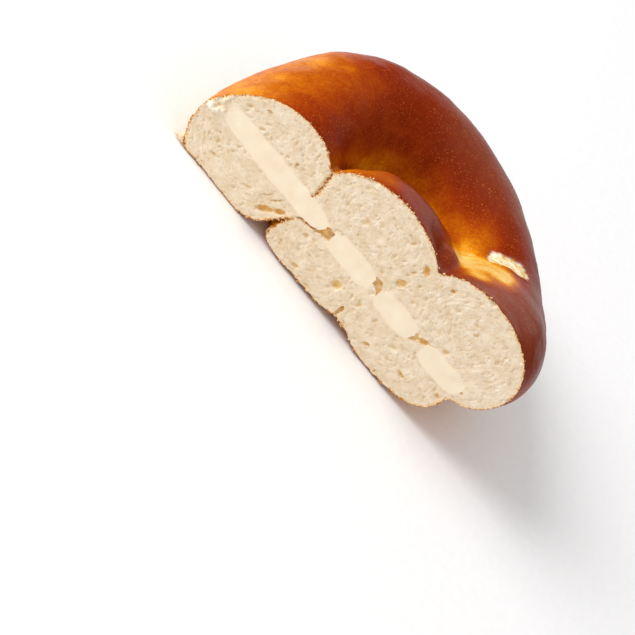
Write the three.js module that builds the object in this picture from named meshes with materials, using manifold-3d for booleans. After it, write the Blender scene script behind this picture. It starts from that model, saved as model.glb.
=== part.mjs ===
// Half of a butter pretzel, in millimetres with +Z up.
// A strand of dough is looped and its ends are twisted over each other. The baked pretzel is
// split level, filled with slices of butter and cut in two through belly and twist.
// The cut face looks along -Y, with the thick belly at -X and the twist at +X.
import * as THREE from "three";
import { mergeVertices } from "three/addons/utils/BufferGeometryUtils.js";
import Module from "manifold-3d";

const wasm = await Module();
wasm.setup();

// Driving dimensions
const bellyX = -42.7; // middle of the belly at the cut
const bellyWidth = 39.4;
const bellyHeight = 39.5;
const bellyLean = 0.26; // sideways shift of the belly's top, for each unit of height
const loopReach = 61; // from the cut to the middle of the loop's far side
const loopWidth = 44;
const loopHeight = 42.5;
const twistHeight = 49.5; // top of the upper crossing
const flatBase = 4.5; // how far the round strands have settled onto the baking sheet
const overrun = 14; // strands run on past the cut before they are trimmed
const beyond = 120; // farther than any part of the half reaches

const splitZ = 20.8; // height of the level split
const splitGap = 0.4;
const butterThick = 6.6;
const butterFit = 0.3; // clearance between butter and bread

const ringSides = 36;
const doughFullness = { above: 2, below: 2.25 };
const pressedFullness = { above: 2, below: 4 };
const butterSides = 20;
const butterFullness = { above: 4, below: 4 };
const stepsPerStation = 4;

// One station along a strand: its centre, its full width across the path, its full height
// and how far its top leans to the side.
function station(x, y, z, width, height, lean = 0) {
  return { centre: new THREE.Vector3(x, y, z), size: new THREE.Vector3(width / 2, height / 2, lean) };
}

// A station whose underside has settled into the flat base and whose top is at the given height.
function settled(x, y, top, width, lean = 0) {
  const height = top + flatBase;
  return station(x, y, top - height / 2, width, height, lean);
}

// Points of one upright ring: a superellipse, facing along heading. Fullness is its exponent above
// and below the middle.
function ringPoints(centre, size, heading, sides, fullness) {
  const across = new THREE.Vector3(heading.y, -heading.x, 0).normalize();
  const points = [];
  for (let i = 0; i < sides; i += 1) {
    const angle = (2 * Math.PI * i) / sides;
    const power = 2 / (Math.sin(angle) > 0 ? fullness.above : fullness.below);
    const side = Math.sign(Math.cos(angle)) * Math.abs(Math.cos(angle)) ** power * size.x;
    const rise = Math.sign(Math.sin(angle)) * Math.abs(Math.sin(angle)) ** power * size.y;
    const point = centre.clone().addScaledVector(across, side + size.z * Math.max(rise, 0));
    point.z += rise;
    points.push(point);
  }
  return points;
}

// A closed body lofted through stations along a smooth path, with rings of the same number of sides.
function loft(stations, sides = ringSides, fullness = doughFullness) {
  const path = new THREE.CatmullRomCurve3(stations.map((s) => s.centre));
  const sizes = new THREE.CatmullRomCurve3(stations.map((s) => s.size));
  const steps = (stations.length - 1) * stepsPerStation;
  const points = [];
  for (let i = 0; i <= steps; i += 1) {
    const t = i / steps;
    points.push(...ringPoints(path.getPoint(t), sizes.getPoint(t), path.getTangent(t), sides, fullness));
  }
  const triangles = [];
  for (let i = 0; i < steps; i += 1) {
    for (let j = 0; j < sides; j += 1) {
      const a = i * sides + j;
      const b = i * sides + ((j + 1) % sides);
      triangles.push(a, a + sides, b, b, a + sides, b + sides);
    }
  }
  const last = steps * sides;
  for (let j = 1; j < sides - 1; j += 1) {
    triangles.push(0, j, j + 1, last, last + j + 1, last + j);
  }
  const geometry = new THREE.BufferGeometry().setFromPoints(points);
  geometry.setIndex(triangles);
  return geometry;
}

// A closed geometry as a solid that can be joined and cut.
function solid(geometry) {
  const bare = new THREE.BufferGeometry();
  bare.setAttribute("position", geometry.getAttribute("position"));
  bare.setIndex(geometry.index);
  const merged = mergeVertices(bare, 1e-4);
  const mesh = new wasm.Mesh({
    numProp: 3,
    vertProperties: new Float32Array(merged.getAttribute("position").array),
    triVerts: new Uint32Array(merged.index.array),
  });
  return new wasm.Manifold(mesh);
}

// A box between two corners, as a solid.
function box(low, high) {
  const size = high.map((value, i) => value - low[i]);
  const middle = high.map((value, i) => (value + low[i]) / 2);
  return solid(new THREE.BoxGeometry(...size).translate(...middle));
}

// Everything behind a plane across y and between two heights, as a solid.
function layer(fromY, fromZ, toZ) {
  return box([-beyond, fromY, fromZ], [beyond, beyond, toZ]);
}

// A solid as a named mesh.
function mesh(name, body, material) {
  const { vertProperties, triVerts } = body.getMesh();
  const geometry = new THREE.BufferGeometry();
  geometry.setAttribute("position", new THREE.BufferAttribute(vertProperties, 3));
  geometry.setIndex(new THREE.BufferAttribute(triVerts, 1));
  geometry.computeVertexNormals();
  const made = new THREE.Mesh(geometry, material);
  made.name = name;
  return made;
}

// The main strand: belly at the cut, round the loop, and up over the other strand at the twist.
function mainStrand() {
  return loft([
    settled(bellyX, -overrun, bellyHeight, bellyWidth, bellyLean),
    settled(bellyX, 0, bellyHeight, bellyWidth, bellyLean),
    settled(-39.5, 0.36 * loopReach, 40.5, 40, 0.12),
    settled(-28, 0.78 * loopReach, 42.5, loopWidth),
    settled(-6, loopReach, loopHeight, loopWidth),
    settled(19, 0.93 * loopReach, 41, loopWidth),
    station(37, 0.62 * loopReach, 20, 41, 42),
    station(40.5, 0.27 * loopReach, 27.5, 44.5, 40),
    station(36, 0, twistHeight - 16.5, 39, 33),
    station(26, -overrun, 35, 34, 32),
  ]);
}

// The other strand's turn on this side of the cut: in below the main strand, round, and out on top.
function turnStrand() {
  return loft([
    station(34, -overrun, 13, 38, 25),
    station(28, 0, 13.5, 39.5, 25.5),
    station(26, 13, 16.5, 36, 30),
    station(14, 22, 19, 33, 33),
    station(1.5, 11, 26, 37, 35),
    station(-1.5, 0, 30, 46.5, 34.6),
    station(-3.5, -overrun, 31, 46.5, 34),
  ]);
}

// The main strand's own end, which comes back below the turn and is pressed onto the belly.
function pressedEnd() {
  const stations = [
    station(-4.5, -overrun, 15.5, 34, 28),
    station(-5.5, 0, 15.5, 33.8, 28),
    station(-11, 12, 14.5, 34, 31),
    station(-12, 24, 9, 30, 27),
    station(-13, 33, 7, 24, 21),
    station(-13.5, 38, 6, 12, 13),
  ];
  return loft(stations, ringSides, pressedFullness);
}

// Dough that closes the middle of the twist.
function twistCore() {
  return loft([
    station(14, -overrun, 21.75, 28, 36.5),
    station(15, 0, 21.75, 28, 36.5),
    station(18, 14, 20.5, 26, 36),
    station(21, 25, 18.5, 20, 27),
    station(22, 30, 17, 10, 14),
  ]);
}

// The whole baked half, trimmed flat at the cut and where it lay on the baking sheet.
function bakedHalf() {
  const joined = [turnStrand, pressedEnd, twistCore].reduce(
    (body, strand) => body.add(solid(strand())),
    solid(mainStrand()),
  );
  return joined.intersect(layer(0, 0, beyond));
}

// A slice of butter along a path at the split, with its end inside the bread rounded off.
// Spare widens it on every side, to make the room that it lies in.
function butterSlice(path, spare = 0) {
  const run = path.map(([x, y, width]) =>
    station(x, y, splitZ, width + 2 * spare, butterThick + 2 * spare),
  );
  const [x, y, width] = path.at(-1);
  const tip = station(x, y, splitZ, 0.5 * width + 2 * spare, 0.6 * butterThick + 2 * spare);
  const back = path.at(-2);
  const onward = new THREE.Vector3(x - back[0], y - back[1], 0).setLength(0.25 * width + spare);
  tip.centre.add(onward);
  return solid(loft([...run, tip], butterSides, butterFullness)).intersect(layer(0, 0, beyond));
}

// Butter slices as paths of x, y and width, from the cut inwards.
const butterPaths = {
  butter_belly: [[-35, -8, 43], [-35, 0, 43], [-36, 14, 37], [-34.5, 27, 27], [-23, 47, 22], [-6, 59, 20]],
  butter_turn: [[-1, -8, 16.5], [-1, 0, 16.5], [1, 10, 16], [3, 18, 14]],
  butter_middle: [[19.5, -8, 15], [19.5, 0, 15], [19, 8, 15], [18, 16, 14]],
  butter_twist: [[40.5, -8, 16], [40.5, 0, 16], [43, 14, 16], [42, 32, 16], [32, 49, 15], [19, 56, 14]],
};

// Hollows that stay open at the cut between one slice and the next: from x, to x, bottom and top.
const hollowDepth = 15;
const hollows = [
  [-14, -8.6, 18.2, 22.6],
  [6.6, 12.6, 18.3, 24.2],
  [26.4, 33, 18.2, 23.8],
];

const crust = new THREE.MeshStandardMaterial({ color: 0x9a4312, roughness: 0.35, metalness: 0 });
const heelCrust = new THREE.MeshStandardMaterial({ color: 0xb86a2a, roughness: 0.6, metalness: 0 });
const butter = new THREE.MeshStandardMaterial({ color: 0xf6e8c4, roughness: 0.4, metalness: 0 });

// Bread split level in two, with room for the butter.
const half = bakedHalf();
let room = layer(-overrun, splitZ - splitGap / 2, splitZ + splitGap / 2);
for (const path of Object.values(butterPaths)) {
  room = room.add(butterSlice(path, butterFit));
}
for (const [fromX, toX, bottom, top] of hollows) {
  room = room.add(box([fromX, -overrun, bottom], [toX, hollowDepth, top]));
}
const bread = half.subtract(room);
const pretzel = new THREE.Group();
pretzel.add(mesh("bread_top", bread.intersect(layer(-overrun, splitZ, beyond)), crust));
pretzel.add(mesh("bread_bottom", bread.intersect(layer(-overrun, -overrun, splitZ)), heelCrust));
for (const [name, path] of Object.entries(butterPaths)) {
  pretzel.add(mesh(name, butterSlice(path).intersect(half), butter));
}

// The origin is below the middle of the half, on the surface that it lies on.
const bounds = new THREE.Box3().setFromObject(pretzel);
const middle = bounds.getCenter(new THREE.Vector3());
for (const piece of pretzel.children) {
  piece.position.set(-middle.x, -middle.y, -bounds.min.z);
}

export default pretzel;
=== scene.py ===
"""Half of a butter pretzel, dressed for a studio picture.

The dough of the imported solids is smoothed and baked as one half, then split, filled with butter and
cut, in the order in which the real one was made. Places are in millimetres, in the frame of the solids.
"""
import math
import random

import bpy
import numpy as np
from mathutils import Matrix, Vector, noise
from mathutils.bvhtree import BVHTree
from mathutils.geometry import delaunay_2d_cdt
from mathutils.kdtree import KDTree


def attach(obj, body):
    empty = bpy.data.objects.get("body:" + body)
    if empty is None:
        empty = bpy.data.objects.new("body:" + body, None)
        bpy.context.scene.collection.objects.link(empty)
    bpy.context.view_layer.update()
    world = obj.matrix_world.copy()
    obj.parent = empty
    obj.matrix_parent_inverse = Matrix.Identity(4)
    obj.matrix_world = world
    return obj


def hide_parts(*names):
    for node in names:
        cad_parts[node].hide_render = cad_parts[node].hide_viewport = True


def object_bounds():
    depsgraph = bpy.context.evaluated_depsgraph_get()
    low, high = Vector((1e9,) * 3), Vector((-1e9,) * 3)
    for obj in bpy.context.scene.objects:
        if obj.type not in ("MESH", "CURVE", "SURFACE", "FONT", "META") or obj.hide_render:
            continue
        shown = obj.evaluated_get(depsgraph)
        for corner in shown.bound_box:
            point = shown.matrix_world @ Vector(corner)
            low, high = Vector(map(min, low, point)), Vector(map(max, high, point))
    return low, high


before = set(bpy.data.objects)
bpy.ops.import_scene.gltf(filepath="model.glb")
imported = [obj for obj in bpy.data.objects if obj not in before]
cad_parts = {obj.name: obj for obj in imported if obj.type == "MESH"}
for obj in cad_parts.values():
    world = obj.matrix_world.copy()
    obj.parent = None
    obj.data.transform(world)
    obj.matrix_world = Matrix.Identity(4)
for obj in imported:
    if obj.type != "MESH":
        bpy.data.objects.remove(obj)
cad_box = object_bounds()

MM = 0.001
CUT_Y = cad_box[0].y

# Dough
DOUGH_VOXEL = 0.66 * MM
RUN_ON = 9 * MM  # how far the strands run on past the cut until the knife comes
CLOSE_GAPS = 0.35 * MM
SMOOTHING = 30  # rounds that take the edges off the solids
SOLE = 3 * MM  # below this the crust lay on the baking sheet
SHEET_GRAIN = [(0.12, 1.6, 3), (0.15, 5, 2)]  # grain of the baking sheet: height, size and noise layer

# Heat: where the crust is gold, how much more makes it mahogany, and how the heat is measured
HEAT_GOLD, HEAT_SPAN = 0.15, 0.72
HEAT_VOXEL, HEAT_RAYS, HEAT_REACH = 2.2 * MM, 56, 60 * MM
LOW_BROWN, LOW_FROM, LOW_TO = 0.22, 30 * MM, 20 * MM  # least browning towards the baking sheet
SOLE_BROWN, SOLE_PATCHES = 0.45, 0.15

# Split and cut
SPLIT_Z = 20.8 * MM
SPLIT_GAP = 0.02 * MM
SPLIT_WAVES = 0.35 * MM
SHEET_SIZE, SHEET_STEPS, BLOCK_HEIGHT = 160 * MM, (110, 90), 60 * MM
CRUMB_SPACING = 0.33 * MM
BUTTER_SPACING = 0.5 * MM
ON_CRUST = 0.1 * MM  # closer than this to the baked surface counts as crust
RIND_ABOVE, RIND_BELOW = 1.1, 0.9  # how deep the crumb is browned below the crust
SMEAR = 0.7  # how far the knife smeared butter over the crumb
RIM_REACH = 0.9 * MM  # how far in the rim of the cut is torn
RIM_CRUST, RIM_SOLE = (0.06, 0.2, 0.15), (0.25, 0.45, 0.5)  # how much everywhere, in fine and in coarse tears
GRAIN_SIZE = 0.24 * MM
LID_GRAINS, HEEL_GRAINS = (60, 22, 60), (440, 0, 14)  # how many, and between which heights
CRUMB_PORES = [(2600, 0.47, 0.4), (200, 0.95, 0.38)]  # how many, middle width, and depth in widths
PORES_X, PORES_Z = (-64, 60), (0, 50)  # where they are drawn
KNIFE_LOW, KNIFE_HIGH = (-0.2, CUT_Y, -0.05), (0.2, 0.2, 0.2)  # block that the knife leaves, in metres
SMOOTH_ANGLE = math.radians(55)

# Where the turned strand swelled in the oven: from, to, reach, and how far it rose and which way
SWELL = ((-12, -33, 40), (13, -28, 37), 6.5, (0.2, 1.4, 1.8))

# Gaps between one slice of butter and the next at the cut, from x to x, which the dough fills at first
GAPS = [(-15, -7.6), (5.6, 13.6), (25.4, 34)]
GAP_BOTTOM, GAP_TOP, GAP_DEPTH = 17.2, 25.2, 16

# Torn hollows in those gaps, made of round lobes: x, z, width, height, turn in degrees, depth
HOLLOWS = [
    (-11.6, 20.2, 6.4, 4.2, 0, 1.9),
    (-14.4, 18.3, 3.6, 2.2, 20, 1.5),
    (-9.7, 20.5, 1.8, 3.4, 0, 2.6),
    (8.4, 22.8, 4.0, 3.2, -35, 1.8),
    (11.0, 21.2, 6.4, 2.3, -42, 1.5),
    (13.8, 19.5, 2.8, 1.6, -50, 1.1),
    (27.2, 20.8, 4.0, 3.4, 30, 1.6),
    (30.4, 22.3, 5.2, 2.4, 18, 1.3),
    (33.2, 23.3, 2.4, 1.8, 20, 1.0),
]

# Where the oven browned more (+) or less (-) than elsewhere: from, to, reach and how much
BROWNING = [
    ((-58, -41, 26), (-50, -8, 33), 13, -0.5),  # outer side of the belly
    ((-44, 2, 33), (-32, 18, 33), 12, -0.15),
    ((-46, -41, 38), (-36, -10, 41), 12, -0.34),  # crown of the belly
    ((0, 0, 30), (8, -1, 31), 6, 0.12),  # inner flank of the loop and its foot
    ((20, 1, 37.5), (24, -3, 38), 5, -0.36),
    ((12, -9, 30), (20, -12, 32), 8, -0.28),
    ((15, -4, 32), (22, -5, 36), 4.5, -0.13),
    ((22, -17, 34.5), (30, -18, 42.5), 7.5, -0.82),  # neck where the strands cross
    ((25, -15.5, 38), (33, -17.5, 43), 5, -0.34),
    ((26, -23.5, 42), (30.5, -22.5, 44.8), 4.5, -0.34),
    ((22, -23.5, 37.5), (24.3, -31, 43.5), 4, -0.6),
    ((27, -31, 45), (33, -24.5, 45.8), 4.2, -0.52),
    ((-23, -41, 36), (-14, -38, 41), 6, -0.6),  # turn, beside the belly and along its back
    ((-10, -35, 42), (14, -26, 38), 7, -0.28),
    ((52, -38, 24), (52, -8, 26), 16, 0.3),  # outer side of the twist
]

# Where a greyish painted sheen is mixed into the crust's colour, standing in for its reflection of bright
# surroundings: from, to, reach and how much
PAINTED_SHEEN = [
    ((30, -41, 46), (49, -26, 44), 13, 0.13),  # twist
    ((-10, -35, 42), (14, -26, 38), 8, 0.04),  # turn
    ((-4, 20, 42), (30, 18, 40), 11, 0.1),  # back of the loop
]

# Where the dough of the neck was stretched, with pale streaks that are partly painted highlight, as a zone,
# and which way
STRETCH_AND_HIGHLIGHT = [((21, -15, 33), (29, -24, 43), 11, 1)]
NECK_WAY = Vector((0.71, -0.2, 0.67))

# Torn split in the crust of the neck: from, to and half width, and how far in and out its edge is soft
TEAR_FROM, TEAR_TO, TEAR_HALF = (28.3, -8.8, 38.8), (35.6, -7.5, 41.3), 3.4
TEAR_IN, TEAR_OUT, WHITE_OUT = 0.8, 0.4, 0.3
TEAR_SINK, TEAR_ROUGH = 0.2, 0.5
LIP_RISE, LIP_PLACE, LIP_WIDTH = 0.25, 0.5, 0.7

# Open notch between belly and pressed end, below the butter: corners as x and z, and how far it runs in
NOTCH = [
    (-20.6, 16.3), (-24.6, 8.2), (-27, 4.2), (-29.5, 1.7), (-33, 0.2),
    (-33, -2), (-21.2, -2), (-21.6, 3), (-22.6, 6.5),
]
NOTCH_RUN = 13 * MM

# Seams between strands on the cut, with baked crust along them: points as x and z, half width and depth
SEAMS = [
    ([(-24.6, 34.5), (-23.5, 29.5), (-22.7, 26.2), (-23.4, 22.9)], 1.0, 0.45),
    ([(-20.4, 15.8), (-17.5, 16.7), (-14.9, 17.6)], 0.6, 1.0),
    ([(47.6, 22.4), (49.4, 20.9)], 0.35, 0.8),
]

# Large pores at the cut: x, z, width, height, turn in degrees, depth
LARGE_PORES = [
    (12.4, 29.1, 3.0, 3.6, -20, 1.5),
    (13.4, 38.6, 4.4, 2.3, -43, 1.3),
    (11.8, 34.9, 0.9, 1.6, -20, 0.6),
    (5, 41, 1.2, 2.4, -30, 0.5),
    (22.5, 41.1, 1.8, 1.2, 25, 0.9),
    (37, 38, 1.4, 2.4, -10, 0.5),
    (22, 6, 2.2, 1.5, 25, 1.0),
    (35, 8.5, 3.2, 1.4, -8, 1.1),
    (30, 1.8, 1.0, 1.0, 0, 0.8),
    (9, 6, 1.4, 4.8, 5, 1.8),
    (-28.1, 8.5, 6.6, 2.4, 48, 1.4),
    (-24.8, 11.8, 4.2, 2.2, 44, 1.5),
    (-27.9, 13.8, 5.6, 0.8, 57, 0.7),
    (-31, 12.5, 5, 0.7, 57, 0.5),
    (-36.5, 8.8, 4.2, 1.1, 27, 0.7),
    (-49.6, 7, 3.6, 0.9, 9, 0.6),
    (-53.5, 13.7, 1.2, 1.3, 0, 0.7),
    (-46.9, 13, 1.0, 1.3, 0, 0.7),
    (-46.8, 15.5, 1.3, 1.1, 30, 0.7),
    (-49.1, 31.4, 2.0, 1.0, 20, 0.8),
    (-46.5, 25.8, 2.0, 1.4, 30, 0.8),
    (-32.7, 27.2, 1.3, 1.1, 0, 0.9),
    (-36, 26.4, 1.4, 1.0, 0, 0.6),
    (-56.4, 21.5, 1.1, 1.4, 0, 0.8),
    (-30.7, 34.2, 0.6, 3.6, 10, 0.5),
]
# Crumb that the knife pulled out at the belly's end: x, z, width, height, turn and how far
TUFTS = [(-60.2, 17.8, 5, 3.4, 10, 1.3), (-57.8, 19.6, 3.4, 2, 30, 0.6), (-59.4, 22.6, 2.4, 1.6, 50, 0.6)]
# Torn flakes of crust: root and tip as x and z, width at the root and thickness
FLAKES = [((-55.2, 3.8), (-61.4, 0.7), 6.2, 1.4), ((-60.6, 8.6), (-62.6, 9.6), 2.4, 0.9)]

# Middles of the strands at the cut, round which the crumb is layered: x and z
STRAND_MIDDLES = [(-42, 19), (-3, 34), (-8, 12), (35, 35), (28, 11)]

# Studio, in metres
FLOOR_SIZE = 4
WORLD_STRENGTH = 0.64
LIT_POINT, LIGHT_DISTANCE = Vector((0, 0, 0.02)), 2

# Camera of the photo: its place, what it aims at, its roll, and its focal length and frame in pixels
CAMERA_PLACE = Vector((-65.0, -451.2, 307.6)) * MM
CAMERA_AIM = Vector((4.58, -56.08, 9.16)) * MM
CAMERA_ROLL = math.radians(56.47)
FOCAL_PIXELS, IMAGE_PIXELS, SENSOR = 1750, 635, 36


def srgb(code):
    """A colour written as hex, in linear light."""
    parts = [int(code[i : i + 2], 16) / 255 for i in (1, 3, 5)]
    return tuple(c / 12.92 if c <= 0.04045 else ((c + 0.055) / 1.055) ** 2.4 for c in parts) + (1.0,)


def select_only(*pieces):
    """Selects these pieces and nothing else, the last one active."""
    bpy.ops.object.select_all(action="DESELECT")
    for piece in pieces:
        piece.select_set(True)
        bpy.context.view_layer.objects.active = piece


def apply_modifier(piece, kind, **settings):
    """Gives a piece a modifier and applies it."""
    select_only(piece)
    bpy.ops.object.modifier_add(type=kind)
    modifier = piece.modifiers[-1]
    for name, value in settings.items():
        setattr(modifier, name, value)
    bpy.ops.object.modifier_apply(modifier=modifier.name)


def merge_doubles(piece, within=0.002 * MM):
    """Joins the corners that lie on each other."""
    select_only(piece)
    bpy.ops.object.mode_set(mode="EDIT")
    bpy.ops.mesh.select_all(action="SELECT")
    bpy.ops.mesh.remove_doubles(threshold=within)
    bpy.ops.object.mode_set(mode="OBJECT")


def select_faces(piece, chosen):
    """Goes into edit mode with only these faces selected, by their numbers."""
    select_only(piece)
    bpy.context.tool_settings.mesh_select_mode = (False, False, True)
    bpy.ops.object.mode_set(mode="EDIT")
    bpy.ops.mesh.select_all(action="DESELECT")
    bpy.ops.object.mode_set(mode="OBJECT")
    for index in chosen:
        piece.data.polygons[index].select = True
    bpy.ops.object.mode_set(mode="EDIT")


def edge_uses(faces):
    """How many of these faces each edge has, by the numbers of its two ends."""
    uses = {}
    for face in faces:
        for key in face.edge_keys:
            uses[key] = uses.get(key, 0) + 1
    return uses


def mend(piece):
    """Closes slits that joined corners left in a surface, and removes flaps of two faces on each other."""
    select_only(piece)
    bpy.ops.object.mode_set(mode="EDIT")
    bpy.ops.mesh.select_all(action="SELECT")
    bpy.ops.mesh.fill_holes(sides=0)
    bpy.ops.object.mode_set(mode="OBJECT")
    alike = {}
    for face in piece.data.polygons:
        alike.setdefault(tuple(sorted(face.vertices)), []).append(face.index)
    flaps = [index for group in alike.values() if len(group) > 1 for index in group]
    if flaps:
        select_faces(piece, flaps)
        bpy.ops.mesh.delete(type="FACE")
        bpy.ops.object.mode_set(mode="OBJECT")


def linked(name, data):
    """A new object of a mesh, light or camera, in the scene."""
    piece = bpy.data.objects.new(name, data)
    bpy.context.scene.collection.objects.link(piece)
    return piece


def copy_of(node_name, name):
    """A copy of a solid's mesh with its corners merged."""
    piece = linked(name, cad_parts[node_name].data.copy())
    merge_doubles(piece)
    return piece


def twin(piece, name):
    """A second piece with its own mesh."""
    return linked(name, piece.data.copy())


def join(into, *others):
    """Makes other pieces a part of one piece."""
    select_only(*others, into)
    bpy.ops.object.join()


def discard(*pieces):
    """Removes pieces that only served to make others."""
    for piece in pieces:
        bpy.data.objects.remove(piece)


def points(piece):
    """A piece's vertices as rows of x, y and z."""
    rows = np.empty(len(piece.data.vertices) * 3, np.float32)
    piece.data.vertices.foreach_get("co", rows)
    return rows.reshape(-1, 3).astype(float)


def normals(piece):
    """The directions that a piece's surface faces at its vertices."""
    rows = np.empty(len(piece.data.vertices) * 3, np.float32)
    piece.data.vertex_normals.foreach_get("vector", rows)
    return rows.reshape(-1, 3).astype(float)


def move_points(piece, rows):
    """Puts a piece's vertices at these rows."""
    piece.data.vertices.foreach_set("co", rows.astype(np.float32).ravel())
    piece.data.update()


def clouds(rows, size, layer=0):
    """Soft noise from -1 to 1 at each row, with features of this size. A layer is a noise of its own."""
    shift = Vector((17.3 * layer, 5.1 * layer, 9.7 * layer))
    return np.array([noise.noise(Vector(row) / size + shift) for row in rows])


def ease(low, high, values):
    """From 0 at low to 1 at high, with soft ends."""
    t = np.clip((np.asarray(values) - low) / (high - low), 0, 1)
    return t * t * (3 - 2 * t)


def to_segment(rows, start, end):
    """Distance of each row from the line between two points."""
    start, end = np.array(start, float), np.array(end, float)
    along = np.clip((rows - start) @ (end - start) / ((end - start) @ (end - start)), 0, 1)
    return np.linalg.norm(rows - start - along[:, None] * (end - start), axis=1)


def block(name, low, high):
    """A box between two corners."""
    low, high = Vector(low), Vector(high)
    bpy.ops.object.select_all(action="DESELECT")
    bpy.ops.mesh.primitive_cube_add(size=1, location=(low + high) / 2, scale=high - low)
    piece = bpy.context.active_object
    piece.name = name
    bpy.ops.object.transform_apply(location=True, rotation=True, scale=True)
    return piece


def run_on(piece):
    """Lets a piece run straight on past the cut."""
    faces = piece.data.polygons
    select_faces(piece, [f.index for f in faces if f.normal.y < -0.9 and f.center.y < CUT_Y + 0.1 * MM])
    bpy.ops.mesh.extrude_region_move(TRANSFORM_OT_translate={"value": (0, -RUN_ON, 0)})
    bpy.ops.object.mode_set(mode="OBJECT")


def trim(piece, cutter, operation):
    """Cuts a piece with another one."""
    apply_modifier(piece, "BOOLEAN", object=cutter, operation=operation, solver="MANIFOLD")


def relief(piece, name, size, strength):
    """Gives a surface soft, random relief with features of this size."""
    texture = bpy.data.textures.new(name, "CLOUDS")
    texture.noise_scale = size
    texture.noise_depth = 1
    apply_modifier(piece, "DISPLACE", texture=texture, strength=strength, mid_level=0.5)


def ball(name, fineness):
    """A ball of radius 1 of small triangles, to be shaped."""
    bpy.ops.object.select_all(action="DESELECT")
    bpy.ops.mesh.primitive_ico_sphere_add(subdivisions=fineness, radius=1)
    piece = bpy.context.active_object
    piece.name = name
    return piece


def distance_to(trees, rows):
    """Distance of each row from the nearest of several surfaces, in millimetres."""
    return np.array([min(tree.find_nearest(Vector(row))[3] for tree in trees) for row in rows]) / MM


def baked_half():
    """The half as it came out of the oven: one piece, not yet split, which runs on past the cut."""
    parts = []
    for node_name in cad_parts:
        part = copy_of(node_name, "dough_" + node_name)
        run_on(part)
        apply_modifier(part, "DISPLACE", strength=CLOSE_GAPS, mid_level=0)
        parts.append(part)
    for i, (from_x, to_x) in enumerate(GAPS):
        low = (from_x * MM, CUT_Y - RUN_ON, GAP_BOTTOM * MM)
        parts.append(block(f"dough_gap_{i}", low, (to_x * MM, CUT_Y + GAP_DEPTH * MM, GAP_TOP * MM)))
    dough = parts.pop()
    join(dough, *parts)
    dough.name = "baked_half"
    apply_modifier(dough, "REMESH", mode="VOXEL", voxel_size=DOUGH_VOXEL)
    apply_modifier(dough, "SMOOTH", factor=0.5, iterations=SMOOTHING)
    swell(dough)
    relief(dough, "uneven_dough", 13 * MM, 0.9 * MM)
    relief(dough, "blisters", 1.7 * MM, 0.16 * MM)
    tear_crust(dough)
    settle(dough)
    return dough


def swell(dough):
    """Raises the top of the turned strand, which swelled a little towards the loop."""
    start, end, reach, way = SWELL
    rows = points(dough)
    share = np.exp(-((to_segment(rows / MM, start, end) / reach) ** 2))
    move_points(dough, rows + MM * share[:, None] * np.array(way))


def from_tear(rows):
    """Distance of each row from the ragged middle of the neck's split, in millimetres."""
    ragged = 1.2 * clouds(rows, 3.2 * MM, 8) + 0.5 * clouds(rows, 1.3 * MM, 10)
    return to_segment(rows / MM, TEAR_FROM, TEAR_TO) + ragged


def tear_crust(dough):
    """Opens the split in the crust of the neck: sunk and rough, with a raised lip round it."""
    rows = points(dough)
    away = from_tear(rows)
    opened = 1 - ease(TEAR_HALF - TEAR_IN, TEAR_HALF + TEAR_OUT, away)
    lip = np.exp(-(((away - TEAR_HALF - LIP_PLACE) / LIP_WIDTH) ** 2))
    rough = clouds(rows, 1.3 * MM, 9)
    lift = LIP_RISE * lip - opened * (TEAR_SINK + TEAR_ROUGH * rough)
    move_points(dough, rows + MM * lift[:, None] * normals(dough))


def settle(dough):
    """Flattens the underside onto the baking sheet, with the grain that the sheet leaves."""
    rows = points(dough)
    grain = sum(high * MM * (1 + clouds(rows, size * MM, layer)) for high, size, layer in SHEET_GRAIN)
    low = rows[:, 2] < grain
    rows[low, 2] = grain[low]
    move_points(dough, rows)


def split_blocks():
    """What lies above and what lies below the wavy split, as two blocks."""
    blocks = []
    across, along = SHEET_STEPS
    for name, side in (("above_split", 1), ("below_split", -1)):
        bpy.ops.object.select_all(action="DESELECT")
        bpy.ops.mesh.primitive_grid_add(x_subdivisions=across, y_subdivisions=along, size=SHEET_SIZE)
        sheet = bpy.context.active_object
        sheet.name = name
        rows = points(sheet)
        rows[:, 2] = SPLIT_Z + side * SPLIT_GAP / 2 + SPLIT_WAVES * clouds(rows, 4 * MM, 1)
        move_points(sheet, rows)
        apply_modifier(sheet, "SOLIDIFY", thickness=BLOCK_HEIGHT, offset=side)
        blocks.append(sheet)
    return blocks


def butter_body(node_name, name):
    """A slice of butter with soft, uneven edges, which runs on past the cut."""
    butter = copy_of(node_name, name)
    run_on(butter)
    apply_modifier(butter, "DISPLACE", strength=0.45 * MM, mid_level=0)
    apply_modifier(butter, "REMESH", mode="VOXEL", voxel_size=0.6 * MM)
    apply_modifier(butter, "SMOOTH", factor=0.5, iterations=4)
    relief(butter, "uneven_butter", 4 * MM, 1.2 * MM)
    relief(butter, "crumbled_butter", 1.4 * MM, 0.6 * MM)
    return butter


def notch_body():
    """The open notch as a cutter: narrow at its top, and running out inside the bread."""
    middle = np.mean(NOTCH, axis=0)
    corners, sides = [], len(NOTCH)
    for y, size in ((CUT_Y - 2 * RUN_ON, 1), (CUT_Y + 0.4 * NOTCH_RUN, 0.9), (CUT_Y + NOTCH_RUN, 0.25)):
        for x, z in NOTCH:
            low = middle[1] * 0.2
            corners.append(((middle[0] + size * (x - middle[0])) * MM, y, (low + size * (z - low)) * MM))
    faces = [tuple(range(sides)), tuple(range(2 * sides, 3 * sides))]
    for i in range(sides):
        j = (i + 1) % sides
        faces += [(r + i, r + j, r + sides + j, r + sides + i) for r in (0, sides)]
    mesh = bpy.data.meshes.new("notch")
    mesh.from_pydata(corners, [], faces)
    notch = linked("notch", mesh)
    select_faces(notch, range(len(faces)))
    bpy.ops.mesh.normals_make_consistent(inside=False)
    bpy.ops.object.mode_set(mode="OBJECT")
    apply_modifier(notch, "REMESH", mode="VOXEL", voxel_size=0.4 * MM)
    relief(notch, "ragged_notch", 3 * MM, 0.7 * MM)
    return notch


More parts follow.
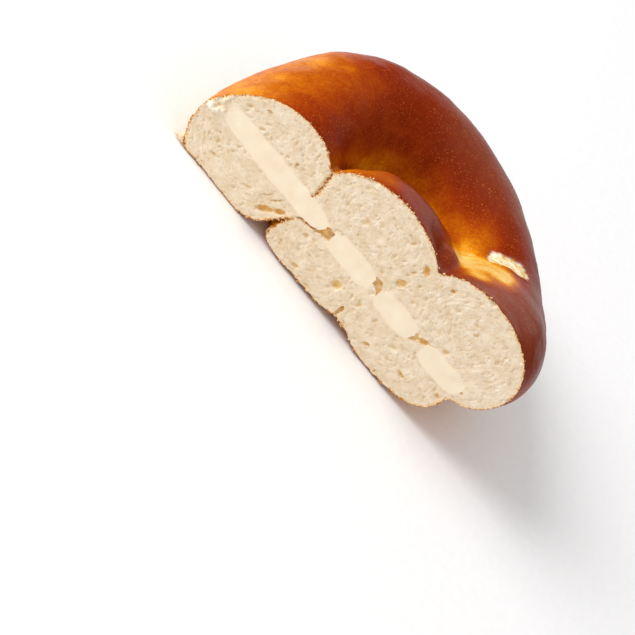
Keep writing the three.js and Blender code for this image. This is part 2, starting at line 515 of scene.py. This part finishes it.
def torn_hollows():
    """The ragged hollows in the bread beside the slices of butter, as one cutter."""
    lobes = []
    for i, (x, z, width, height, turn, depth) in enumerate(HOLLOWS):
        lobe = ball(f"hollow_{i}", 4)
        u, v, w = (points(lobe) * (width / 2, depth, height / 2)).T
        cos, sin = math.cos(math.radians(turn)), math.sin(math.radians(turn))
        move_points(lobe, MM * np.stack([x + u * cos - w * sin, CUT_Y / MM + v, z + u * sin + w * cos], 1))
        lobes.append(lobe)
    hollows = lobes.pop()
    join(hollows, *lobes)
    apply_modifier(hollows, "REMESH", mode="VOXEL", voxel_size=0.35 * MM)
    relief(hollows, "torn_hollows", 1.2 * MM, 0.9 * MM)
    return hollows


def inside(spots, border):
    """Which of these x, z spots lie inside the closed border of line ends."""
    found = np.zeros(len(spots), bool)
    for (ax, az), (bx, bz) in border:
        if az != bz:
            across = (az > spots[:, 1]) != (bz > spots[:, 1])
            found ^= across & (spots[:, 0] < (bx - ax) * (spots[:, 1] - az) / (bz - az) + ax)
    return found


def even_spots(low, high, spacing):
    """Spots all over a rectangle, evenly spread but not in straight rows."""
    draw = np.random.default_rng(7)
    across = np.arange(low[0], high[0], spacing)
    up = np.arange(low[1], high[1], spacing * math.sqrt(3) / 2)
    columns, rows = np.meshgrid(across, up)
    columns[1::2] += spacing / 2
    spots = np.stack([columns.ravel(), rows.ravel()], 1)
    return spots + draw.uniform(-0.2, 0.2, spots.shape) * spacing


def remesh_cut(piece, spacing):
    """Gives the flat face that the knife left an even mesh, fine enough for relief."""
    mesh = piece.data
    flat = [f.index for f in mesh.polygons if f.normal.y < -0.99 and abs(f.center.y - CUT_Y) < 0.01 * MM]
    uses = edge_uses([mesh.polygons[index] for index in flat])
    edges = [key for key, count in uses.items() if count == 1]
    corners = sorted({corner for key in edges for corner in key})
    number = {corner: i for i, corner in enumerate(corners)}
    rim = np.array([[mesh.vertices[c].co.x, mesh.vertices[c].co.z] for c in corners])
    border = [(rim[number[a]], rim[number[b]]) for a, b in edges]

    spots = even_spots(rim.min(0), rim.max(0), spacing)
    spots = spots[inside(spots, border)]
    clear = np.full(len(spots), True)
    for a, b in border:
        clear &= to_segment(spots, a, b) > 0.5 * spacing
    spots = np.concatenate([rim, spots[clear]])
    lines = [(number[a], number[b]) for a, b in edges]
    made = delaunay_2d_cdt([Vector(s) for s in spots], lines, [], 0, 1e-9)
    flat_points, triangles = np.array(made[0]), np.array(made[2])
    kept = triangles[inside(flat_points[triangles].mean(1), border)]

    select_faces(piece, flat)
    bpy.ops.mesh.delete(type="FACE")
    bpy.ops.object.mode_set(mode="OBJECT")
    face_mesh = bpy.data.meshes.new("cut_face")
    face_mesh.from_pydata([(x, CUT_Y, z) for x, z in flat_points], [], kept.tolist())
    join(piece, linked("cut_face", face_mesh))
    merge_doubles(piece)
    mend(piece)


def on_cut(rows):
    """The numbers of the rows that lie on the plane of the cut."""
    return np.flatnonzero(np.abs(rows[:, 1] - CUT_Y) < 0.005 * MM)


def press_pores(rows, chosen, pores):
    """How deep each chosen row of the cut lies in a pore. A pore is x, z, width, height, turn and depth."""
    depth = np.zeros(len(rows))
    bent = rows[:, [0, 2]] / MM
    bent[chosen, 0] += 0.3 * clouds(rows[chosen], 0.9 * MM, 12)
    bent[chosen, 1] += 0.3 * clouds(rows[chosen], 0.9 * MM, 13)
    tree = KDTree(len(chosen))
    for i in chosen:
        tree.insert((bent[i, 0], 0, bent[i, 1]), i)
    tree.balance()
    for x, z, width, height, turn, deep in pores:
        cos, sin = math.cos(math.radians(turn)), math.sin(math.radians(turn))
        for place, i, _ in tree.find_range((x, 0, z), max(width, height) / 2):
            u = ((place.x - x) * cos + (place.z - z) * sin) / (width / 2)
            v = ((place.z - z) * cos - (place.x - x) * sin) / (height / 2)
            within = 1 - u * u - v * v
            if within > 0:
                depth[i] = max(depth[i], deep * within**0.7)
    return depth


def crumb_pores():
    """Pores of the crumb, drawn out along the layers of the dough: many fine ones and some wider ones."""
    draw = random.Random(11)
    pores = []
    for count, middle_size, deep in CRUMB_PORES:
        for _ in range(count):
            x = draw.uniform(*PORES_X)
            z = draw.uniform(*PORES_Z)
            middle = min(STRAND_MIDDLES, key=lambda m: math.hypot(x - m[0], z - m[1]))
            turn = math.degrees(math.atan2(z - middle[1], x - middle[0])) + 90 + draw.gauss(0, 30)
            size = middle_size * math.exp(draw.gauss(0, 0.35))
            pores.append((x, z, size * draw.uniform(1.0, 2.0), size, turn, deep * size))
    return pores


def from_seams(rows):
    """How far each row is from a seam, in half widths of the seam, and the depth of the seam."""
    bent = np.stack([clouds(rows, 1.6 * MM, 41), clouds(rows, 1.6 * MM, 42)], 1)
    flat = rows[:, [0, 2]] / MM + 0.5 * bent
    away = np.full(len(rows), 9.0)
    depth = np.zeros(len(rows))
    for corners, half, deep in SEAMS:
        for start, end in zip(corners, corners[1:]):
            here = to_segment(flat, start, end) / half
            away = np.minimum(away, here)
            depth = np.maximum(depth, deep * np.clip(1 - here**2, 0, 1))
    return away, depth


def ragged_rim(piece, tree):
    """Tears the rim of the cut a little, more so where the sole was torn from the sheet."""
    rows = points(piece)
    chosen = on_cut(rows)
    fine, coarse = clouds(rows[chosen], 0.9 * MM, 21), clouds(rows[chosen], 2.6 * MM, 22)
    for i, small, wide in zip(chosen, fine, coarse):
        _, facing, _, away = tree.find_nearest(Vector(rows[i]))
        everywhere, by_fine, by_coarse = RIM_SOLE if rows[i, 2] < SOLE else RIM_CRUST
        amount = max(0, everywhere + by_fine * small + by_coarse * wide)
        inward = amount * MM * math.exp(-away / RIM_REACH)
        rows[i, 0] -= inward * facing.x
        rows[i, 2] -= inward * facing.z
    move_points(piece, rows)


def knife_waves(rows):
    """How far the knife's drag moved each row of the cut, in bread and butter alike, in millimetres."""
    return 0.14 * clouds(rows, 4 * MM, 6)


def dough_layers(rows):
    """Soft ridges round the middle of each strand, where the dough was rolled up, from -1 to 1."""
    spokes = rows[:, None, [0, 2]] / MM - np.array(STRAND_MIDDLES)
    away = np.linalg.norm(spokes, axis=2)
    strand = away.argmin(1)
    each = np.arange(len(rows))
    angle = np.arctan2(spokes[each, strand, 1], spokes[each, strand, 0])
    ridges = clouds(np.stack([away[each, strand] / 0.8, 2.5 * angle, 7.0 * strand], 1), 1, 23)
    return ridges * ease(-0.15, 0.35, clouds(rows, 6 * MM, 24))


def cut_relief(piece, butter_trees):
    """Presses pores, layers, seams and the drag of the knife into the crumb at the cut."""
    rows = points(piece)
    chosen = on_cut(rows)
    face = rows[chosen]
    depth = press_pores(rows, chosen, crumb_pores() + LARGE_PORES)[chosen]
    depth = np.maximum(depth, from_seams(face)[1]) - press_pores(rows, chosen, TUFTS)[chosen]
    grain = 0.06 * clouds(face, 0.8 * MM, 5) + 0.04 * clouds(face, 0.45 * MM, 7) + 0.18 * dough_layers(face)
    flush = ease(0.1, SMEAR, distance_to(butter_trees, face))
    rows[chosen, 1] += MM * (flush * (depth + grain) + knife_waves(face))
    move_points(piece, rows)


def rim_crumbs(piece, tree, count, lowest, highest):
    """Loose grains along the rim of the cut between two heights, as one mesh."""
    draw = random.Random(29)
    rows = points(piece)
    rim = [
        row for row in rows[on_cut(rows)]
        if lowest < row[2] / MM < highest and tree.find_nearest(Vector(row))[3] < 0.15 * MM
    ]
    grain = ball("grain", 1)
    unit, faces = points(grain), np.array([face.vertices for face in grain.data.polygons])
    discard(grain)
    corners, triangles = [], []
    for row in draw.choices(rim, k=count):
        size = GRAIN_SIZE * math.exp(min(draw.gauss(0, 0.4), 0.4))
        stretch = [size * draw.uniform(0.5, 1.5) for _ in range(3)]
        jagged = np.array([draw.uniform(0.6, 1.3) for _ in unit])
        place = row + np.array([draw.gauss(0, 0.15), draw.uniform(0, 0.4), draw.gauss(0, 0.15)]) * MM
        place[2] = max(place[2], 1.3 * stretch[2])
        triangles.append(faces + len(corners) * len(unit))
        corners.append(place + unit * stretch * jagged[:, None])
    mesh = bpy.data.meshes.new("rim_crumbs")
    mesh.from_pydata(np.concatenate(corners).tolist(), [], np.concatenate(triangles).tolist())
    return linked("rim_crumbs", mesh)


def flake(name, root, tip, width, thick):
    """A torn flake of crust at the cut: flat, broad at its root and pointed at its tip."""
    piece = ball(name, 4)
    rows = points(piece)
    way = np.array([tip[0] - root[0], 0, tip[1] - root[1]])
    side = np.array([-way[2], 0, way[0]]) / np.linalg.norm(way)
    along = (rows[:, 0] + 1) / 2
    narrow = (1 - 0.8 * along) * rows[:, 1] * width / 2
    placed = np.array([root[0], CUT_Y / MM + 0.5, root[1]]) + along[:, None] * way + narrow[:, None] * side
    placed[:, 1] += rows[:, 2] * thick / 2
    placed += 0.25 * np.stack([clouds(placed, 0.9, layer) for layer in (31, 32, 33)], 1)
    placed[:, 2] = np.maximum(placed[:, 2], 0.1)
    move_points(piece, placed * MM)
    return piece


def oven_heat(dough):
    """How much of the oven each place of the crust saw, from 0 in a crease to 1 on a crown."""
    proxy = twin(dough, "heat_proxy")
    apply_modifier(proxy, "REMESH", mode="VOXEL", voxel_size=HEAT_VOXEL)
    tree = BVHTree.FromObject(dough, bpy.context.evaluated_depsgraph_get())
    rays = []
    for i in range(HEAT_RAYS):
        rise = (i + 0.5) / HEAT_RAYS
        angle = i * math.pi * (3 - math.sqrt(5))
        flat = math.sqrt(1 - rise * rise)
        rays.append(Vector((flat * math.cos(angle), flat * math.sin(angle), rise)))
    full = sum(ray.z for ray in rays)
    spots = KDTree(len(proxy.data.vertices))
    heat = []
    for vertex in proxy.data.vertices:
        start = vertex.co + 1.2 * MM * vertex.normal
        seen = 0
        for ray in rays:
            facing = ray.dot(vertex.normal)
            if facing > 0 and tree.ray_cast(start, ray, HEAT_REACH)[0] is None:
                seen += facing
        heat.append(seen / full)
        spots.insert(vertex.co, vertex.index)
    spots.balance()
    discard(proxy)
    return spots, np.array(heat)


def heat_at(rows, spots, heat):
    """The oven heat at each row, blended from the nearest places that were measured."""
    result = np.zeros(len(rows))
    for i, row in enumerate(rows):
        near = spots.find_n(row, 5)
        weights = np.array([1 / (distance + 0.3 * MM) ** 2 for _, _, distance in near])
        result[i] = (weights * heat[[index for _, index, _ in near]]).sum() / weights.sum()
    return result


def zones(rows, listed):
    """The sum at each row of zones that fade out round a line: from, to, reach and how much."""
    total = np.zeros(len(rows))
    for start, end, reach, much in listed:
        total += much * np.exp(-((to_segment(rows / MM, start, end) / reach) ** 2))
    return total


def browning(rows, spots, heat):
    """How brown the crust is at each row, from 0 for gold to 1 for mahogany."""
    level = (heat_at(rows, spots, heat) - HEAT_GOLD) / HEAT_SPAN + zones(rows, BROWNING)
    level = np.maximum(level, LOW_BROWN * ease(LOW_FROM, LOW_TO, rows[:, 2]))
    sole = SOLE_BROWN + SOLE_PATCHES * clouds(rows, 6 * MM, 15)
    return np.maximum(level, sole * ease(SOLE, 0.3 * SOLE, rows[:, 2]))


def give(piece, name, values):
    """Stores a number for each vertex, for the piece's materials."""
    layer = piece.data.attributes.new(name, "FLOAT", "POINT")
    layer.data.foreach_set("value", np.asarray(values, np.float32))


def node(owner, kind, inputs=None, stops=None, **settings):
    """Adds a node to a material. Inputs are values, sockets or nodes, and stops are a colour ramp's."""
    made = owner.node_tree.nodes.new(kind)
    for name, value in settings.items():
        setattr(made, name, value)
    for name, value in (inputs or {}).items():
        if isinstance(value, bpy.types.Node):
            value = next(output for output in value.outputs if output.enabled)
        if isinstance(value, bpy.types.NodeSocket):
            owner.node_tree.links.new(value, made.inputs[name])
        else:
            made.inputs[name].default_value = value
    for i, (place, code) in enumerate(stops or []):
        elements = made.color_ramp.elements
        if i == 0:
            elements.remove(elements[1])
        stop = elements.new(place) if i else elements[0]
        stop.position = place
        stop.color = srgb(code)
    return made


def new_material(name):
    """An empty material."""
    material = bpy.data.materials.new(name)
    material.use_nodes = True
    material.node_tree.nodes.clear()
    return material


def lye_crust():
    """Lye-dipped dough, baked: a thin, glossy skin that browns where the oven reaches it, with tiny
    blisters that catch the light, and white dough where it split in the oven. A greyish painted sheen is
    mixed into its colour where it would reflect bright surroundings, and the neck's pale streaks are
    partly painted highlight."""
    m = new_material("baked_lye_crust")
    place = node(m, "ShaderNodeTexCoord").outputs["Object"]
    bake = node(m, "ShaderNodeAttribute", attribute_name="bake").outputs["Fac"]
    torn = node(m, "ShaderNodeAttribute", attribute_name="torn").outputs["Fac"]
    painted_sheen = node(m, "ShaderNodeAttribute", attribute_name="painted_sheen").outputs["Fac"]
    stretch = node(m, "ShaderNodeAttribute", attribute_name="stretch").outputs["Fac"]

    # Uneven browning
    blotch = node(m, "ShaderNodeTexNoise", {"Vector": place, "Scale": 1 / (7 * MM), "Detail": 4})
    grain = node(m, "ShaderNodeTexNoise", {"Vector": place, "Scale": 1 / (0.9 * MM), "Detail": 2})
    level = bake
    for cloud, much in ((blotch, 0.12), (grain, 0.07)):
        limits = {"From Min": 0.3, "From Max": 0.7, "To Min": -much, "To Max": much}
        shift = node(m, "ShaderNodeMapRange", {"Value": cloud, **limits})
        level = node(m, "ShaderNodeMath", {0: level, 1: shift}, operation="ADD")
    brown = node(m, "ShaderNodeValToRGB", {"Fac": level}, stops=[
        (0.0, "#e6b964"), (0.1, "#e2a436"), (0.25, "#d4840a"), (0.4, "#bb6207"),
        (0.55, "#a84b05"), (0.7, "#983805"), (0.85, "#8b2b05"), (1.0, "#802405"),
    ])

    # Fine pale lines where the dough of the neck was stretched, partly a painted highlight
    share = node(m, "ShaderNodeVectorMath", {0: place, 1: NECK_WAY}, operation="DOT_PRODUCT").outputs["Value"]
    along = node(m, "ShaderNodeVectorMath", {0: NECK_WAY, "Scale": share}, operation="SCALE")
    short = node(m, "ShaderNodeVectorMath", {0: along, "Scale": 0.9}, operation="SCALE")
    across = node(m, "ShaderNodeVectorMath", {0: place, 1: short}, operation="SUBTRACT")
    lines = node(m, "ShaderNodeTexNoise", {"Vector": across, "Scale": 1 / (0.9 * MM), "Detail": 2})
    strong = node(m, "ShaderNodeMapRange", {"Value": lines, "From Min": 0.5, "From Max": 0.68, "To Max": 0.7})
    pale = node(m, "ShaderNodeMapRange", {
        "Value": level, "From Min": 0.3, "From Max": 0.02, "To Max": stretch,
    })
    streak = node(m, "ShaderNodeMath", {0: strong, 1: pale}, operation="MULTIPLY")
    lined = node(m, "ShaderNodeMix", {"Factor": streak, "A": brown, "B": srgb("#f0d08c")}, data_type="RGBA")

    # Painted sheen: a greyish haze mixed into the colour where the crust would reflect bright surroundings
    with_painted_sheen = node(m, "ShaderNodeMix", {"Factor": painted_sheen, "A": lined, "B": srgb("#a88e74")}, data_type="RGBA")

    # Tiny blisters, drawn a little coarser than the real ones so that they show
    shaken = node(m, "ShaderNodeMix", {
        "Factor": 0.7 * MM, "A": place, "B": grain.outputs["Color"],
    }, data_type="VECTOR")
    cells = node(m, "ShaderNodeTexVoronoi", {"Vector": shaken, "Scale": 1 / (0.65 * MM)})
    dot = node(m, "ShaderNodeMapRange", {
        "Value": cells.outputs["Distance"], "From Min": 0.05, "From Max": 0.36, "To Min": 1, "To Max": 0,
    })
    pick = node(m, "ShaderNodeSeparateColor", {"Color": cells.outputs["Color"]})
    crowd = node(m, "ShaderNodeMapRange", {
        "Value": blotch, "From Min": 0.35, "From Max": 0.65, "To Min": 0.35,
    })
    few = node(m, "ShaderNodeMapRange", {
        "Value": pick.outputs["Red"], "From Min": 0.1, "From Max": 1.0, "To Max": crowd,
    })
    blister = node(m, "ShaderNodeMath", {0: dot, 1: few}, operation="MULTIPLY")
    much = node(m, "ShaderNodeMapRange", {
        "Value": level, "From Min": 0.3, "From Max": 0.9, "To Min": 0.2, "To Max": 0.9,
    })
    speck = node(m, "ShaderNodeMath", {0: blister, 1: much}, operation="MULTIPLY")
    specked = node(m, "ShaderNodeMix", {"Factor": speck, "A": with_painted_sheen, "B": srgb("#e08c2e")}, data_type="RGBA")

    # White dough in the split, drawn out the same way
    dough = node(m, "ShaderNodeValToRGB", {"Fac": lines}, stops=[
        (0.34, "#cf9a42"), (0.42, "#dfb96e"), (0.5, "#e6d2ac"), (0.6, "#ebe0cc"),
    ])
    colour = node(m, "ShaderNodeMix", {"Factor": torn, "A": specked, "B": dough}, data_type="RGBA")

    # Gloss and relief
    rough = node(m, "ShaderNodeMapRange", {"Value": grain, "To Min": 0.24, "To Max": 0.36})
    roughness = node(m, "ShaderNodeMix", {"Factor": torn, "A": rough, "B": 0.85}, data_type="FLOAT")
    height = node(m, "ShaderNodeMath", {0: grain, 1: blister}, operation="ADD")
    bump = node(m, "ShaderNodeBump", {"Height": height, "Strength": 0.35, "Distance": 0.12 * MM})
    shader = node(m, "ShaderNodeBsdfPrincipled", {
        "Base Color": colour, "Roughness": roughness, "Normal": bump, "Specular IOR Level": 0.03,
    })
    node(m, "ShaderNodeOutputMaterial", {"Surface": shader})
    return m


def bread_crumb():
    """Soft wheat crumb, cut with a knife: matt, cream with a golden painted shade deep in its pores and
    hollows, smeared with butter beside the slices, browned below the crust and along the seams, and
    near-white where crumb stands out of the cut, partly as painted highlight."""
    m = new_material("soft_wheat_crumb")
    place = node(m, "ShaderNodeTexCoord").outputs["Object"]
    skin = node(m, "ShaderNodeAttribute", attribute_name="skin").outputs["Fac"]
    pore = node(m, "ShaderNodeAttribute", attribute_name="pore").outputs["Fac"]
    smear = node(m, "ShaderNodeAttribute", attribute_name="smear").outputs["Fac"]

    # Cream with paler flecks, a golden painted shade that deepens into the pores and hollows, and smeared
    # butter
    cloud = node(m, "ShaderNodeTexNoise", {"Vector": place, "Scale": 1 / (2.5 * MM), "Detail": 5})
    grain = node(m, "ShaderNodeTexNoise", {"Vector": place, "Scale": 1 / (0.5 * MM), "Detail": 2})
    cream = node(m, "ShaderNodeValToRGB", {"Fac": cloud}, stops=[(0.3, "#e9cfaa"), (0.7, "#f9e7cd")])
    fleck = node(m, "ShaderNodeMapRange", {"Value": grain, "From Min": 0.56, "From Max": 0.72, "To Max": 0.5})
    flecked = node(m, "ShaderNodeMix", {"Factor": fleck, "A": cream, "B": srgb("#fff7e6")}, data_type="RGBA")
    recess_shade_colour = node(m, "ShaderNodeValToRGB", {"Fac": cloud}, stops=[(0.4, "#e6ac50"), (0.62, "#f8da9a")])
    deep = node(m, "ShaderNodeMapRange", {"Value": pore, "From Min": 0.15, "From Max": 0.9, "To Max": 0.95})
    with_recess_shade = node(m, "ShaderNodeMix", {"Factor": deep, "A": flecked, "B": recess_shade_colour}, data_type="RGBA")
    holed = node(m, "ShaderNodeMix", {"Factor": smear, "A": with_recess_shade, "B": srgb("#fde6ca")}, data_type="RGBA")

    # Browned edge below the crust, and near-white crumb pulled out by the knife, partly a painted highlight
    ragged = node(m, "ShaderNodeMapRange", {
        "Value": grain, "From Min": 0.3, "From Max": 0.7, "To Min": -0.5, "To Max": 0.5,
    })
    edge = node(m, "ShaderNodeMath", {0: skin, 1: ragged}, operation="ADD")
    gold = node(m, "ShaderNodeValToRGB", {"Fac": edge}, stops=[
        (0.0, "#a8602a"), (0.2, "#d79f60"), (0.5, "#f0cfa0"), (1.0, "#f6e2c4"),
    ])
    near = node(m, "ShaderNodeMapRange", {
        "Value": edge, "From Min": 0.7, "From Max": 1.3, "To Min": 1, "To Max": 0,
    })
    edged = node(m, "ShaderNodeMix", {"Factor": near, "A": holed, "B": gold}, data_type="RGBA")
    # Near-white where crumb stands out of the cut: torn crumb, and partly a painted highlight
    tuft_and_highlight = node(m, "ShaderNodeMapRange", {"Value": pore, "From Min": -0.45, "From Max": -0.9})
    colour = node(m, "ShaderNodeMix", {"Factor": tuft_and_highlight, "A": edged, "B": srgb("#fff4e0")}, data_type="RGBA")
    height = node(m, "ShaderNodeMath", {0: grain, 1: cloud}, operation="ADD")
    bump = node(m, "ShaderNodeBump", {"Height": height, "Strength": 0.6, "Distance": 0.3 * MM})
    shader = node(m, "ShaderNodeBsdfPrincipled", {
        "Base Color": colour, "Roughness": 0.85, "Normal": bump, "Specular IOR Level": 0.2,
    })
    node(m, "ShaderNodeOutputMaterial", {"Surface": shader})
    return m


def cut_butter():
    """Chilled butter, cut with a knife: pale yellow, with a satin face and faint drag marks."""
    m = new_material("chilled_butter")
    place = node(m, "ShaderNodeTexCoord").outputs["Object"]
    cloud = node(m, "ShaderNodeTexNoise", {"Vector": place, "Scale": 1 / (6 * MM), "Detail": 2})
    colour = node(m, "ShaderNodeValToRGB", {"Fac": cloud}, stops=[(0.3, "#fce6c7"), (0.7, "#fff0d4")])
    turned = node(m, "ShaderNodeMapping", {"Vector": place, "Scale": (0.15, 1, 1)})
    drag = node(m, "ShaderNodeTexNoise", {"Vector": turned, "Scale": 1 / (0.9 * MM), "Detail": 1})
    bump = node(m, "ShaderNodeBump", {"Height": drag, "Strength": 0.15, "Distance": 0.12 * MM})
    shader = node(m, "ShaderNodeBsdfPrincipled", {
        "Base Color": colour, "Roughness": 0.45, "Normal": bump, "Specular IOR Level": 0.3,
    })
    node(m, "ShaderNodeOutputMaterial", {"Surface": shader})
    return m


def pale_floor():
    """Matt white studio board with a faint paper tooth."""
    m = new_material("white_studio_board")
    place = node(m, "ShaderNodeTexCoord").outputs["Object"]
    tooth = node(m, "ShaderNodeTexNoise", {"Vector": place, "Scale": 1 / (3 * MM), "Detail": 2})
    colour = node(m, "ShaderNodeValToRGB", {"Fac": tooth}, stops=[(0.3, "#f8f7f7"), (0.7, "#fbfafa")])
    shader = node(m, "ShaderNodeBsdfPrincipled", {
        "Base Color": colour, "Roughness": 0.9, "Specular IOR Level": 0.1,
    })
    node(m, "ShaderNodeOutputMaterial", {"Surface": shader})
    return m


def dress_bread(piece, tree, butter_trees, spots, heat, crust, crumb):
    """Gives bread its numbers for colour, and crust or crumb to each face."""
    rows = points(piece)
    rind = np.where(rows[:, 2] < SOLE, RIND_BELOW, RIND_ABOVE) * (1 + 0.6 * clouds(rows, 2.2 * MM, 4))
    skin = distance_to([tree], rows) / rind + np.where(rows[:, 2] < SOLE, 0, 0.15)
    give(piece, "skin", np.minimum(skin, 0.8 * from_seams(rows)[0]))
    # Depth behind the cut: it sets the crumb's painted shade in pores and hollows and, where negative, the
    # tufts' partly painted highlight
    give(piece, "pore", (rows[:, 1] - CUT_Y) / MM)
    smear = distance_to(butter_trees, rows) / (SMEAR * (1 + 0.7 * clouds(rows, 1.1 * MM, 14)))
    give(piece, "smear", 1 - ease(0, 1, smear))
    give(piece, "bake", browning(rows, spots, heat))
    # Pale streaks of the neck: stretched dough, and partly a painted highlight
    give(piece, "stretch", zones(rows, STRETCH_AND_HIGHLIGHT))
    # Painted sheen: where a greyish haze stands in for the crust's reflection of bright surroundings
    give(piece, "painted_sheen", zones(rows, PAINTED_SHEEN) * (1 + 0.5 * clouds(rows, 2.5 * MM, 16)))
    give(piece, "torn", 1 - ease(TEAR_HALF - TEAR_IN, TEAR_HALF + WHITE_OUT, from_tear(rows)))
    piece.data.materials.clear()
    piece.data.materials.append(crust)
    piece.data.materials.append(crumb)
    for face in piece.data.polygons:
        distance = tree.find_nearest(face.center)[3]
        flat_cut = face.normal.y < -0.9 and abs(face.center.y - CUT_Y) < 0.5 * MM
        face.material_index = 1 if flat_cut or distance > ON_CRUST else 0


def finish_piece(piece, node_name):
    """Shades a piece and puts it in the place of its solid."""
    select_only(piece)
    bpy.ops.object.shade_smooth_by_angle(angle=SMOOTH_ANGLE)
    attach(piece, "root")
    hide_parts(node_name)


def softbox(name, towards, size, power, sheen):
    """A soft light that shines on the half from this direction, either for its sheen or for the rest."""
    light = bpy.data.lights.new(name, "AREA")
    light.shape = "DISK"
    light.size = size
    light.energy = power
    lamp = linked(name, light)
    way = Vector(towards).normalized()
    lamp.location = LIT_POINT + LIGHT_DISTANCE * way
    lamp.rotation_euler = way.to_track_quat("Z", "Y").to_euler()
    lamp.visible_camera = False
    lamp.visible_glossy = sheen
    lamp.visible_diffuse = not sheen


# Bread and butter
dough = baked_half()
notch = notch_body()
trim(dough, notch, "DIFFERENCE")
crust_tree = BVHTree.FromObject(dough, bpy.context.evaluated_depsgraph_get())
heat_spots, heat_levels = oven_heat(dough)
knife = block("knife_side", KNIFE_LOW, KNIFE_HIGH)
above, below = split_blocks()
hollows = torn_hollows()
slices = {
    "butter_belly": "butter_slice_belly",
    "butter_turn": "butter_slice_turn",
    "butter_middle": "butter_slice_middle",
    "butter_twist": "butter_slice_twist",
}
butters = {node_name: butter_body(node_name, name) for node_name, name in slices.items()}
depsgraph = bpy.context.evaluated_depsgraph_get()
butter_trees = [BVHTree.FromObject(butter, depsgraph) for butter in butters.values()]
trim(dough, knife, "INTERSECT")

crust, crumb, butter_finish = lye_crust(), bread_crumb(), cut_butter()
for node_name, name, slot, side, grains in (
    ("bread_top", "bread_lid", "crust", above, LID_GRAINS),
    ("bread_bottom", "bread_heel", "heel", below, HEEL_GRAINS),
):
    bread = twin(dough, name)
    trim(bread, side, "INTERSECT")
    for cutter in [*butters.values(), hollows]:
        trim(bread, cutter, "DIFFERENCE")
    remesh_cut(bread, CRUMB_SPACING)
    ragged_rim(bread, crust_tree)
    loose = [rim_crumbs(bread, crust_tree, *grains)]
    cut_relief(bread, butter_trees)
    if side is below:
        loose += [flake(f"flake_{i}", *shape) for i, shape in enumerate(FLAKES)]
    join(bread, *loose)
    dress_bread(bread, crust_tree, butter_trees, heat_spots, heat_levels, crust, crumb)
    finish_piece(bread, node_name)

for node_name, butter in butters.items():
    trim(butter, knife, "INTERSECT")
    remesh_cut(butter, BUTTER_SPACING)
    rows = points(butter)
    face = on_cut(rows)
    rows[face, 1] += MM * knife_waves(rows[face])
    move_points(butter, rows)
    butter.data.materials.clear()
    butter.data.materials.append(butter_finish)
    finish_piece(butter, node_name)

discard(dough, knife, notch, above, below, hollows)

# Floor
bpy.ops.object.select_all(action="DESELECT")
bpy.ops.mesh.primitive_plane_add(size=FLOOR_SIZE)
floor = bpy.context.active_object
floor.name = "floor"
floor.data.materials.append(pale_floor())

# Light: white surroundings and a softbox, and two dim panels that give the crust its sheen
scene = bpy.context.scene
scene.view_settings.view_transform = "Standard"
world = bpy.data.worlds.new("white_studio")
world.use_nodes = True
surroundings = world.node_tree.nodes["Background"]
surroundings.inputs["Color"].default_value = srgb("#ffffff")
surroundings.inputs["Strength"].default_value = WORLD_STRENGTH
scene.world = world
world.cycles_visibility.glossy = False
softbox("key_softbox", (-0.85, -0.12, 0.5), 1.3, 40, False)
softbox("side_panel", (-0.87, 0.12, 0.47), 0.8, 4.2, True)
softbox("back_panel", (0.2, 0.95, 0.24), 1.2, 5, True)

# Camera
camera_data = bpy.data.cameras.new("photo_camera")
camera_data.sensor_width = SENSOR
camera_data.lens = SENSOR * FOCAL_PIXELS / IMAGE_PIXELS
camera_data.clip_start = 0.01
camera = linked("photo_camera", camera_data)
look = (CAMERA_AIM - CAMERA_PLACE).to_track_quat("-Z", "Y").to_matrix()
turned_look = look @ Matrix.Rotation(CAMERA_ROLL, 3, "Z")
camera.matrix_world = Matrix.Translation(CAMERA_PLACE) @ turned_look.to_4x4()
scene.camera = camera
